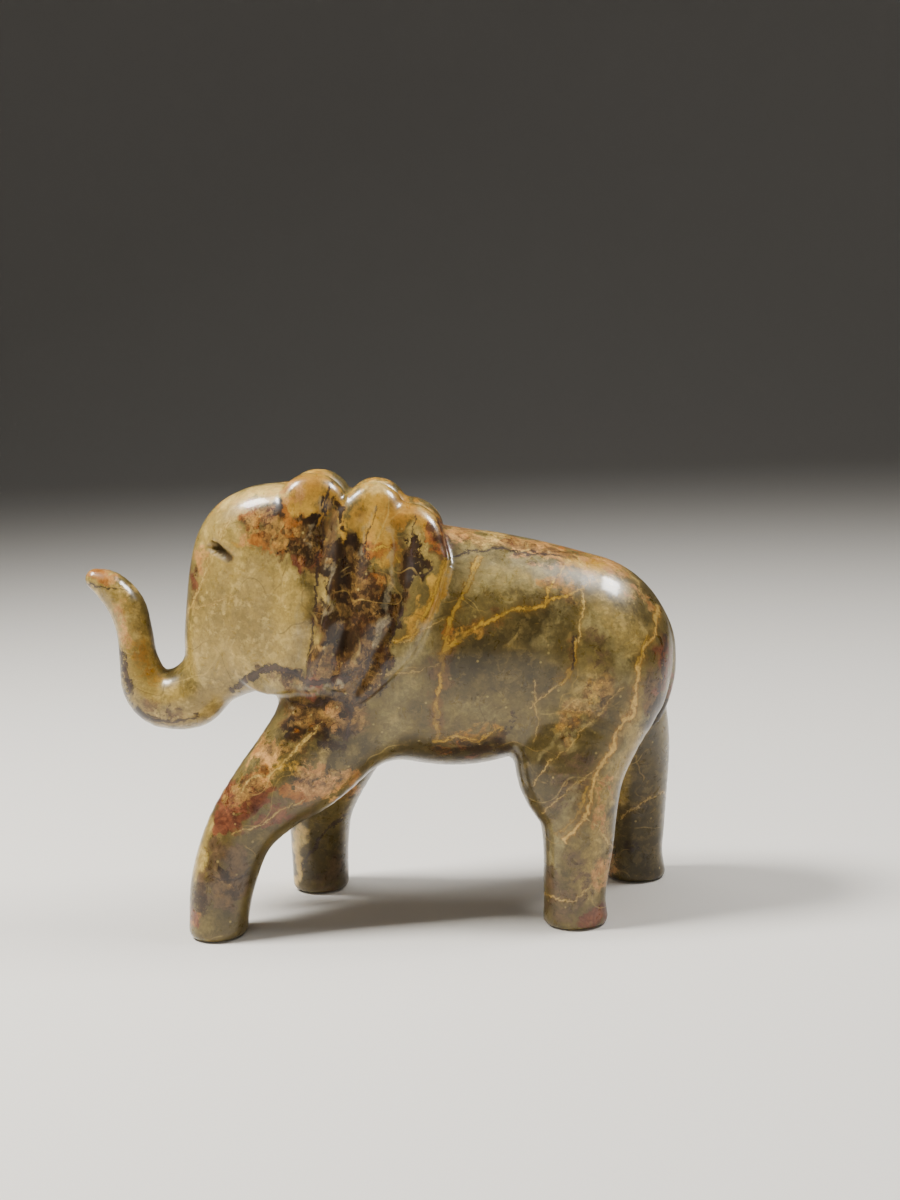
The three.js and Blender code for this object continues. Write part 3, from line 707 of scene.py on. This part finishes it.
# The eye slits carry painted shade, and they are rough and without coat.
slit, _ = path_distance(px, pz, [(-43.4, 106.0), (-39.8, 103.1)])
masks["eye"] = ease(1.7, 0.8, slit) * ease(3, 6, np.abs(py))
STORED = {
    "patch_a": ("straw", "honey", "cream"),
    "stain_b": ("peach", "orange", "brick"),
    "patch_c": ("umber", "mauve", "moss_and_shade"),
    "patch_d": ("mist_and_highlight", "breccia", "ground"),
    "patch_e": ("brown", "eye", "rib_highlight"),
}
for name, kinds in STORED.items():
    store(name, [masks[kind] for kind in kinds])

# Veins that keep apart share an attribute, which holds the signed distance to the nearest.
vein_groups = []
for kind, lines in VEINS.items():
    groups = []
    for line, width in lines:
        for group in groups:
            if all(far_apart(line, other) for other, _ in group):
                group.append((line, width))
                break
        else:
            groups.append([(line, width)])
    for group in groups:
        signed = np.full(count, 99.0)
        present = np.zeros(count)
        widths = np.zeros(count)
        for line, width in group:
            s, m = vein_sheet(vein_u, vein_v, line)
            take = m > present
            signed = np.where(take, s, signed)
            widths = np.where(take, width, widths)
            present = np.maximum(present, m)
        name = f"vein_{len(vein_groups)}"
        store(name, [np.clip(signed, -20, 20), present, widths])
        vein_groups.append((name, kind))
print("vein groups:", len(vein_groups))

# ---------------------------------------------------------------------------------------
# Material: veined onyx
# ---------------------------------------------------------------------------------------
material = bpy.data.materials.new("onyx")
material.use_nodes = True
nodes, links = material.node_tree.nodes, material.node_tree.links
shader = nodes["Principled BSDF"]


def feed(socket, value):
    if isinstance(value, bpy.types.NodeSocket):
        links.new(value, socket)
    elif isinstance(value, tuple) and len(value) == 3 and socket.type == "RGBA":
        socket.default_value = (*value, 1)
    else:
        socket.default_value = value


def calc(operation, *values):
    node = nodes.new("ShaderNodeMath")
    node.operation = operation
    for socket, value in zip(node.inputs, values):
        feed(socket, value)
    return node.outputs[0]


def ramp(value, start, end, low=0.0, high=1.0):
    node = nodes.new("ShaderNodeMapRange")
    node.interpolation_type = "SMOOTHSTEP"
    for name, number in zip(("Value", "From Min", "From Max", "To Min", "To Max"),
                            (value, start, end, low, high)):
        feed(node.inputs[name], number)
    return node.outputs["Result"]


def blend(factor, a, b, mode="MIX"):
    node = nodes.new("ShaderNodeMix")
    node.data_type = "RGBA"
    node.blend_type = mode
    feed(node.inputs[0], factor)
    feed(node.inputs[6], a)
    feed(node.inputs[7], b)
    return node.outputs[2]


def split(vector):
    node = nodes.new("ShaderNodeSeparateXYZ")
    feed(node.inputs[0], vector)
    return node.outputs[0], node.outputs[1], node.outputs[2]


place = nodes.new("ShaderNodeTexCoord").outputs["Object"]


def moved(offset, scale=(1, 1, 1)):
    node = nodes.new("ShaderNodeMapping")
    feed(node.inputs["Vector"], place)
    node.inputs["Location"].default_value = offset
    node.inputs["Scale"].default_value = scale
    return node.outputs[0]


def noise(scale, detail=4.0, roughness=0.55, distortion=0.0, vector=None):
    node = nodes.new("ShaderNodeTexNoise")
    feed(node.inputs["Vector"], place if vector is None else vector)
    node.inputs["Scale"].default_value = scale
    node.inputs["Detail"].default_value = detail
    node.inputs["Roughness"].default_value = roughness
    node.inputs["Distortion"].default_value = distortion
    return node.outputs["Fac"], node.outputs["Color"]


def attribute(name):
    node = nodes.new("ShaderNodeAttribute")
    node.attribute_name = name
    return node.outputs["Vector"]


mask = {}
for name, kinds in STORED.items():
    mask.update(zip(kinds, split(attribute(name))))

cloud, cloud_color = noise(55, 7, 0.62, 0.4)
cloud_r, cloud_g, cloud_b = split(cloud_color)
drawn = moved((0, 0, 0), (1.3, 1.0, 0.36))
_, even_color = noise(250, 9, 0.74, 0.5)
_, drawn_color = noise(250, 7, 0.72, 0.2, drawn)
ragged_color = blend(calc("MULTIPLY", mask["ground"], 0.75), even_color, drawn_color)
ragged_r, ragged_g, ragged_b = split(ragged_color)
grain, grain_color = noise(1100, 5, 0.7)
grain_r, grain_g, grain_b = split(grain_color)
streak, _ = noise(60, 5, 0.6, 0.8, moved((0.02, 0.05, 0.01), (1.0, 0.35, 2.4)))


def warm(red, green, blue):
    """Tones as they look in white light, made warmer for the pale light of this scene."""
    return red * 0.76, green * 0.635, blue * 0.29


# The body of the stone: translucent olive grey with clouds and fine grain
color = blend(ramp(cloud, 0.34, 0.66), warm(0.115, 0.096, 0.053), warm(0.195, 0.167, 0.100))
color = blend(calc("MULTIPLY", ramp(streak, 0.50, 0.72), 0.4), color, warm(0.30, 0.265, 0.17))
color = blend(calc("MULTIPLY", ramp(ragged_g, 0.48, 0.66), 0.24), color, warm(0.30, 0.265, 0.17))
flake, _ = noise(170, 9, 0.78)
color = blend(calc("MULTIPLY", ramp(flake, 0.54, 0.66), 0.34), color, warm(0.40, 0.35, 0.22))
color = blend(calc("MULTIPLY", ramp(flake, 0.45, 0.33), 0.28), color, warm(0.065, 0.052, 0.030))


def full(value):
    """Noise stretched to the whole range from 0 to 1."""
    return ramp(value, 0.30, 0.70)


def nudged(base, value, amount):
    """The base, moved up and down by a noise that lies around a half."""
    return calc("MULTIPLY_ADD", calc("SUBTRACT", value, 0.5), amount, base)


def voronoi(scale, where, feature="F1"):
    node = nodes.new("ShaderNodeTexVoronoi")
    node.feature = feature
    feed(node.inputs["Vector"], where)
    node.inputs["Scale"].default_value = scale
    return node.outputs


def bent_by(amount):
    node = nodes.new("ShaderNodeVectorMath")
    node.operation = "MULTIPLY_ADD"
    feed(node.inputs[0], ragged_color)
    node.inputs[1].default_value = (amount, amount, amount)
    feed(node.inputs[2], place)
    return node.outputs[0]


# Angular cells, for the broken edges of stains and the jogs of veins
bent = bent_by(0.006)
_, shard, _ = split(voronoi(430, bent)["Color"])
jag_r, jag_g, _ = split(voronoi(360, place)["Color"])
chip_r, chip_g, _ = split(voronoi(900, bent)["Color"])
HARD = 0.35  # stains softer than this have no angular edge


def paint_patch(color, kind, edge_noise, dark, light, shade, soft, ragged, level=0.5):
    """Lays a patch with a ragged edge, in tones that vary inside it: most patches are stains, some
    are painted shade and painted highlights.
    """
    edge = nudged(mask[kind], full(edge_noise), ragged)
    edge = nudged(edge, full(grain), ragged * 0.4)
    if soft < HARD:
        edge = nudged(edge, shard, 0.45)
        edge = nudged(edge, chip_g, 0.30)
    cover = calc("MULTIPLY", ramp(edge, level - soft, level + soft), ramp(mask[kind], 0.04, 0.3))
    inner = blend(ramp(shade, 0.36, 0.64), warm(*dark), warm(*light))
    return blend(cover, color, inner)


# Dark olive stone, and painted shade on the underside of the belly and on the legs
color = paint_patch(color, "moss_and_shade", ragged_r, (0.054, 0.044, 0.024), (0.100, 0.082, 0.046),
              cloud_g, 0.50, 0.45)
# Pale grey clouds in the stone, and painted highlights on the ear ridges and on the rump
color = paint_patch(color, "mist_and_highlight", ragged_g, (0.24, 0.215, 0.165), (0.38, 0.355, 0.285),
              ragged_r, 0.50, 0.5)
color = paint_patch(color, "straw", ragged_b, (0.34, 0.275, 0.145), (0.46, 0.375, 0.21),
              cloud_g, 0.40, 0.35)

# Frost: soft pale flakes of about a millimetre, most in the straw-coloured parts
frost, _ = noise(340, 5, 0.66, 0.3)
frost = calc("MULTIPLY", ramp(frost, 0.49, 0.58), ramp(ragged_r, 0.40, 0.58))
frost = calc("MULTIPLY", frost, ramp(mask["straw"], 0.2, 0.8, 0.15, 0.80))
color = blend(frost, color, warm(0.66, 0.56, 0.37))

color = paint_patch(color, "mauve", ragged_r, (0.075, 0.050, 0.045), (0.19, 0.135, 0.125),
              ragged_g, 0.30, 0.8)
color = paint_patch(color, "brown", ragged_b, (0.085, 0.053, 0.038), (0.25, 0.160, 0.095),
              ragged_g, 0.28, 0.9)
color = paint_patch(color, "honey", ragged_r, (0.42, 0.23, 0.055), (0.66, 0.46, 0.15),
              cloud_r, 0.32, 0.6)
# Pale cream stone, and painted highlights on the top of the head, the trunk, the top of the second
# ear lobe and the rump
color = paint_patch(color, "cream", ragged_g, (0.66, 0.50, 0.29), (0.82, 0.70, 0.47),
              ragged_b, 0.40, 0.5)
color = paint_patch(color, "peach", ragged_g, (0.42, 0.21, 0.11), (0.72, 0.47, 0.31),
              ragged_b, 0.18, 1.0, 0.42)
color = paint_patch(color, "orange", ragged_b, (0.26, 0.10, 0.035), (0.50, 0.24, 0.08),
              ragged_g, 0.16, 1.1)
color = paint_patch(color, "brick", ragged_r, (0.105, 0.033, 0.032), (0.28, 0.115, 0.105),
              ragged_b, 0.18, 1.1, 0.42)
color = paint_patch(color, "umber", ragged_g, (0.018, 0.010, 0.007), (0.062, 0.034, 0.021),
              ragged_r, 0.20, 1.1, 0.40)

# Broken stone: small angular pieces in neighbouring tones, with dark and pale seams
broken = nudged(mask["breccia"], full(cloud_b), 0.7)
broken = calc("MULTIPLY", ramp(broken, 0.38, 0.62), ramp(mask["breccia"], 0.02, 0.3))
shown = calc("MULTIPLY", broken, ramp(mask["umber"], 0.3, 0.9, 1.0, 0.5))
for size, dull_share, bright_share, seam_width in (
        (330, 0.60, 0.50, 0.06),
        (760, 0.50, 0.45, 0.09)):
    cell_r, cell_g, _ = split(voronoi(size, bent)["Color"])
    to_seam = voronoi(size, bent, "DISTANCE_TO_EDGE")["Distance"]
    dull = calc("MULTIPLY", broken, ramp(cell_r, 0.60, 0.75, 0.0, dull_share))
    color = blend(dull, color, warm(0.085, 0.045, 0.030))
    bright = calc("MULTIPLY", shown, ramp(cell_g, 0.66, 0.80, 0.0, bright_share))
    color = blend(bright, color, warm(0.50, 0.335, 0.175))
    seam = calc("MULTIPLY", ramp(to_seam, seam_width * 0.3, seam_width, 1.0, 0.0), broken)
    color = blend(calc("MULTIPLY", seam, ramp(ragged_b, 0.48, 0.60, 0, 0.75)), color,
                  warm(0.075, 0.026, 0.018))
    color = blend(calc("MULTIPLY", seam, ramp(ragged_r, 0.52, 0.62, 0, 0.5)), color,
                  warm(0.60, 0.43, 0.25))

# Veins: a pale core with a darker rim and a faint halo, in jogs; wide amber ones are hollow
drift = nudged(0.0, grain_r, 3.5)
drift = nudged(drift, ragged_g, 4.5)
drift = nudged(drift, noise(620, 3, 0.6)[0], 4.0)
drift = nudged(drift, jag_r, 2.6)
drift = nudged(drift, chip_r, 1.5)
hollow = ramp(calc("MULTIPLY_ADD", jag_g, 0.35, cloud_r), 0.55, 0.75)
VEIN_TONES = {
    "bold": ((0.30, 0.150, 0.022), (0.70, 0.455, 0.115)),
    "cream": ((0.24, 0.135, 0.026), (0.56, 0.400, 0.125)),
    "amber": ((0.16, 0.080, 0.008), (0.50, 0.300, 0.032)),
    "dark": ((0.018, 0.010, 0.008), (0.050, 0.026, 0.020)),
}


def within(across, reach, start, end, strength=1.0):
    """Full strength where across is less than reach, none past the end of the fade."""
    return ramp(calc("SUBTRACT", across, reach), start, end, strength, 0.0)


for name, kind in vein_groups:
    signed, present, width = split(attribute(name))
    across = calc("ABSOLUTE", calc("ADD", signed, drift))
    spread = calc("MULTIPLY", width, ramp(ragged_r, 0.35, 0.68, 0.35, 1.7))
    line = calc("MULTIPLY", within(across, spread, -0.7, 0.8), ramp(present, 0.1, 0.6))
    if kind == "amber":
        inside = within(across, calc("MULTIPLY", spread, 0.5), -0.5, 0.5)
        inside = calc("MULTIPLY", inside, ramp(width, 1.4, 2.4, 0.0, 0.75))
        line = calc("MULTIPLY", line, calc("SUBTRACT", 1.0, calc("MULTIPLY", inside, hollow)))
    dark_tone, pale_tone = VEIN_TONES[kind]
    core = within(across, calc("MULTIPLY", spread, 0.55), -0.8, 0.8)
    tone = blend(core, dark_tone, pale_tone)
    color = blend(calc("MULTIPLY", line, 0.92), color, tone)
    if kind != "dark":
        halo = within(across, calc("MULTIPLY", spread, 2.0), -2.0, 5.0, 0.20)
        color = blend(calc("MULTIPLY", halo, present), color, dark_tone)

# Painted highlights along the ribs between the flutes, and under the jaw
rib_highlight_edge = nudged(mask["rib_highlight"], full(ragged_r), 0.7)
color = blend(ramp(rib_highlight_edge, 0.35, 1.0, 0.0, 0.50), color, (0.33, 0.27, 0.15))

# Hairlines: healed cracks, pale or dark, thin as a hair
for offset, scale, tone, strength, width in (
        ((0.3, 0.1, 0.0), 24, (0.62, 0.52, 0.34), 0.50, 0.0035),
        ((0.7, 0.4, 0.2), 38, (0.55, 0.42, 0.22), 0.40, 0.004),
        ((0.1, 0.8, 0.5), 30, (0.045, 0.028, 0.018), 0.40, 0.003)):
    field, _ = noise(scale, 2.5, 0.5, 0.0, moved(offset, (1.0, 0.6, 1.0)))
    hair = ramp(calc("ABSOLUTE", calc("SUBTRACT", field, 0.5)), width * 0.3, width, strength, 0.0)
    hair = calc("MULTIPLY", hair, ramp(cloud_g, 0.48, 0.60))
    color = blend(hair, color, warm(*tone))

# Mottle: light and dark, stronger in the broken stone
speck, _ = noise(420, 8, 0.8)
busy = ramp(mask["breccia"], 0.1, 0.6)
mottle = calc("MULTIPLY", ramp(speck, 0.34, 0.66, 0.80, 1.20), ramp(grain, 0.34, 0.66, 0.90, 1.1))
strong = calc("MULTIPLY", ramp(speck, 0.36, 0.64, 0.55, 1.50), ramp(grain, 0.34, 0.66, 0.80, 1.2))
mottle = calc("MULTIPLY_ADD", calc("SUBTRACT", strong, mottle), busy, mottle)
color = blend(1.0, color, mottle, "MULTIPLY")

# Crystal points: small pale dots, one in a few cells
crystals = voronoi(420, place)
chosen, _, _ = split(crystals["Color"])
dots = calc("MULTIPLY", ramp(crystals["Distance"], 0.10, 0.20, 1.0, 0.0),
            ramp(chosen, 0.72, 0.95, 0.0, 0.55))
color = blend(dots, color, warm(0.62, 0.56, 0.40))
# Painted shade in the eye slits
color = blend(calc("MULTIPLY", mask["eye"], 0.92), color, (0.028, 0.014, 0.004))

# Grain: pale flecks and dark pin pricks
color = blend(ramp(grain_g, 0.62, 0.72, 0.0, 0.38), color, warm(0.50, 0.42, 0.26))
color = blend(ramp(grain_b, 0.64, 0.74, 0.0, 0.38), color, warm(0.07, 0.048, 0.03))
feed(shader.inputs["Base Color"], color)

shader.inputs["Subsurface Weight"].default_value = 0.22
shader.inputs["Subsurface Radius"].default_value = (1.0, 0.62, 0.30)
shader.inputs["Subsurface Scale"].default_value = 0.0025
shader.inputs["IOR"].default_value = 1.5
polished = calc("SUBTRACT", 1.0, mask["eye"])
feed(shader.inputs["Coat Weight"], calc("MULTIPLY", polished, 0.42))
shader.inputs["Specular IOR Level"].default_value = 0.36
shader.inputs["Coat Roughness"].default_value = 0.11
feed(shader.inputs["Roughness"],
     calc("MULTIPLY_ADD", mask["eye"], 0.55, ramp(ragged_g, 0.35, 0.70, 0.26, 0.42)))

# Relief: faint waves of hand polishing, grinding marks and pores
wave, _ = noise(150, 2, 0.5)
marks, _ = noise(120, 3, 0.6, 0.0, moved((0, 0, 0), (6.0, 6.0, 0.35)))
height = calc("MULTIPLY", wave, 0.5)
height = calc("MULTIPLY_ADD", calc("MULTIPLY", marks, mask["ground"]), 0.28, height)
height = calc("MULTIPLY_ADD", ramp(grain_b, 0.66, 0.75), -0.10, height)
bump = nodes.new("ShaderNodeBump")
bump.inputs["Strength"].default_value = 0.6
bump.inputs["Distance"].default_value = 0.00035
feed(bump.inputs["Height"], height)
feed(shader.inputs["Normal"], bump.outputs["Normal"])
fine.materials.append(material)

# ---------------------------------------------------------------------------------------
# Floor, light and camera
# ---------------------------------------------------------------------------------------
sweep = [(-2.5, 0), (2.4, 0)]
for i in range(1, 25):
    angle = math.radians(85 * i / 24)
    sweep.append((2.4 + 2.6 * math.sin(angle), 2.6 - 2.6 * math.cos(angle)))
sweep.append((5.2, 6.0))
floor_mesh = bpy.data.meshes.new("floor")
floor_mesh.from_pydata([(x, y, z) for y, z in sweep for x in (-7, 7)], [],
                       [(2 * i, 2 * i + 1, 2 * i + 3, 2 * i + 2) for i in range(len(sweep) - 1)])
for polygon in floor_mesh.polygons:
    polygon.use_smooth = True
floor = bpy.data.objects.new("floor", floor_mesh)
scene.collection.objects.link(floor)
floor_material = bpy.data.materials.new("floor")
floor_material.use_nodes = True
floor_shader = floor_material.node_tree.nodes["Principled BSDF"]
floor_shader.inputs["Base Color"].default_value = (0.80, 0.765, 0.715, 1)
floor_shader.inputs["Roughness"].default_value = 0.8
floor_mesh.materials.append(floor_material)

world = bpy.data.worlds.new("studio")
world.use_nodes = True
world.node_tree.nodes["Background"].inputs["Color"].default_value = (0.50, 0.49, 0.47, 1)
world.node_tree.nodes["Background"].inputs["Strength"].default_value = 0.11
scene.world = world


def area(name, place, target, size, power, color):
    light = bpy.data.lights.new(name, "AREA")
    light.shape = "RECTANGLE"
    light.size, light.size_y = size
    light.energy = power
    light.color = color
    lamp = bpy.data.objects.new(name, light)
    lamp.location = place
    lamp.rotation_euler = (Vector(target) - Vector(place)).to_track_quat("-Z", "Y").to_euler()
    scene.collection.objects.link(lamp)
    return lamp


area("key", (-0.44, -0.04, 0.74), (0, -0.03, 0.05), (0.24, 0.24), 13.5, (1.0, 0.985, 0.94))
side = area("side", (0.54, 0.05, 0.83), (0.02, 0, 0.07), (0.34, 0.18), 5.5, (1.0, 0.99, 0.96))
gleam = area("gleam", (0.545, 0.04, 0.81), (0.02, 0, 0.07), (0.34, 0.21), 15.5, (1.0, 0.99, 0.96))
top = area("top", (0.0, 0.20, 0.90), (0, 0, 0.06), (0.60, 0.30), 2.2, (1.0, 0.99, 0.97))
fill = area("fill", (-0.25, -1.0, 0.34), (0, -0.03, 0.06), (0.9, 0.4), 2.7, (1.0, 0.985, 0.95))
# The broad lights don't show as reflections, and the gleam on the rump is only a reflection.
for lamp in (side, top, fill):
    lamp.visible_glossy = False
gleam.visible_diffuse = False

right = Vector((1, 0, 0))
up = Vector((0, math.sin(PITCH), math.cos(PITCH)))
forward = Vector((0, math.cos(PITCH), -math.sin(PITCH)))
axis_x = right * math.cos(ROLL) - up * math.sin(ROLL)
axis_y = right * math.sin(ROLL) + up * math.cos(ROLL)
camera_data = bpy.data.cameras.new("photo")
camera_data.sensor_fit = "VERTICAL"
camera_data.sensor_height = 36
camera_data.lens = camera_data.sensor_height * LENS / PICTURE_HEIGHT
camera_data.clip_start = 0.01
camera_data.dof.use_dof = False
camera = bpy.data.objects.new("photo", camera_data)
rotation = Matrix((axis_x, axis_y, -forward)).transposed()
camera.matrix_world = Matrix.Translation(Vector(EYE_MM / 1000)) @ rotation.to_4x4()
scene.collection.objects.link(camera)
scene.camera = camera

bpy.context.view_layer.update()
